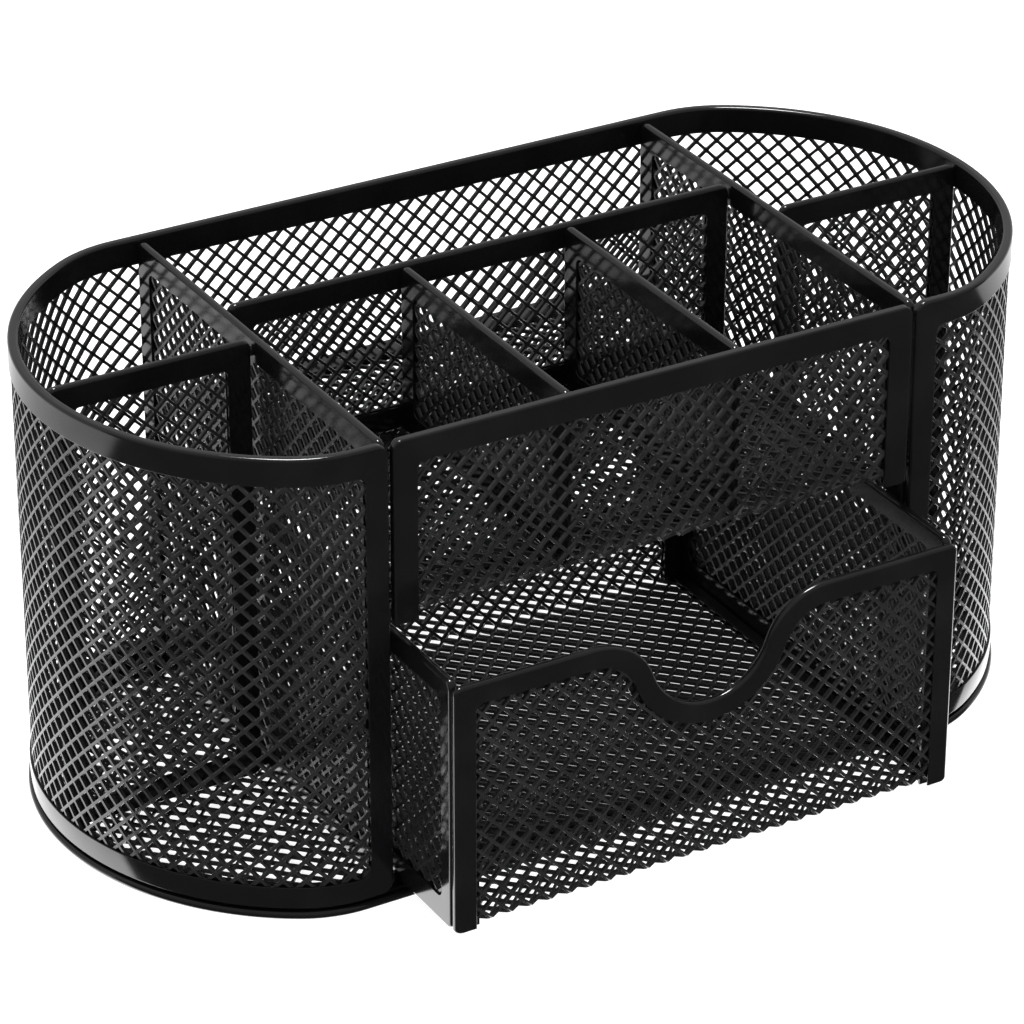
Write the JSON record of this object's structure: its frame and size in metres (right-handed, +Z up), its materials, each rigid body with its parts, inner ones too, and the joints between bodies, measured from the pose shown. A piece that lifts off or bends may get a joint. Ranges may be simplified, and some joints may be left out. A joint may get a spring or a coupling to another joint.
{
  "type": "desk organizer",
  "caption": "Oblong wire-mesh desk organizer with round ends, dividers, a shallow tray and a sliding drawer with a finger scoop.",
  "frame": {"origin": "centre of the body's flat underside, on the surface it stands on", "axes": "+X to the right along the length, +Y to the rear, +Z up; the drawer opens towards -Y"},
  "size_m": [0.221, 0.1312, 0.104],
  "materials": {
    "band": "gloss",
    "mesh": "gloss",
    "drawer_band": "gloss",
    "drawer_mesh": "gloss"
  },
  "bodies": {
    "body": {"wall_mesh": "mesh", "wall_top_rim": "band", "wall_bottom_band": "band", "wall_front_band_left": "band", "wall_front_band_right": "band", "base_ring": "band", "floor_mesh": "mesh", "cross_divider_left_mesh": "mesh", "cross_divider_left_frame": "band", "cross_divider_right_mesh": "mesh", "cross_divider_right_frame": "band", "end_divider_left_mesh": "mesh", "end_divider_left_frame": "band", "end_divider_right_mesh": "mesh", "end_divider_right_frame": "band", "partition_mesh": "mesh", "partition_frame": "band", "small_divider_left_mesh": "mesh", "small_divider_left_frame": "band", "small_divider_right_mesh": "mesh", "small_divider_right_frame": "band", "tray_mesh": "mesh", "tray_front_frame": "band", "tray_rear_band": "band"},
    "drawer": {"drawer_mesh": "drawer_mesh", "drawer_front_frame": "drawer_band", "drawer_side_left_mesh": "drawer_mesh", "drawer_side_left_frame": "drawer_band", "drawer_side_right_mesh": "drawer_mesh", "drawer_side_right_frame": "drawer_band", "drawer_back_frame": "drawer_band"}
  },
  "joints": [
    {"name": "drawer_slide", "type": "slide", "parent": "body", "child": "drawer", "axis": [0, -1, 0], "range_m": [-0.0213, 0.07]}
  ]
}
